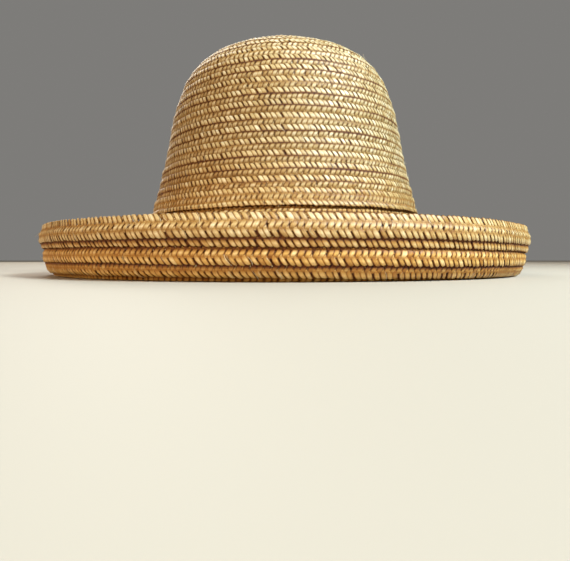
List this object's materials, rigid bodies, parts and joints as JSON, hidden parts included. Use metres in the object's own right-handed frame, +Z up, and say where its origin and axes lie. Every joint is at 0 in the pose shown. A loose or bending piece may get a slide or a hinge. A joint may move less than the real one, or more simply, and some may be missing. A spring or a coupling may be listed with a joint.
{
  "type": "straw hat",
  "caption": "Wide straw sun hat sewn in a spiral from one flat plait, with a rounded bell-shaped crown and a sloping brim rolled up all round.",
  "frame": {"origin": "on the resting surface, below the middle of the crown", "axes": "+Z up out of the crown's top, +Y towards the back of the hat, +X across it to the right as seen from the front"},
  "size_m": [0.3732, 0.3832, 0.1793],
  "materials": {
    "crown_straw": "pale glossy plaited straw",
    "brim_straw": "golden satin plaited straw",
    "edge_straw": "golden glossy plaited straw"
  },
  "bodies": {
    "root": {"crown": "crown_straw", "brim_slope": "brim_straw", "brim_roll": "brim_straw", "edge_band": "edge_straw"}
  },
  "joints": []
}
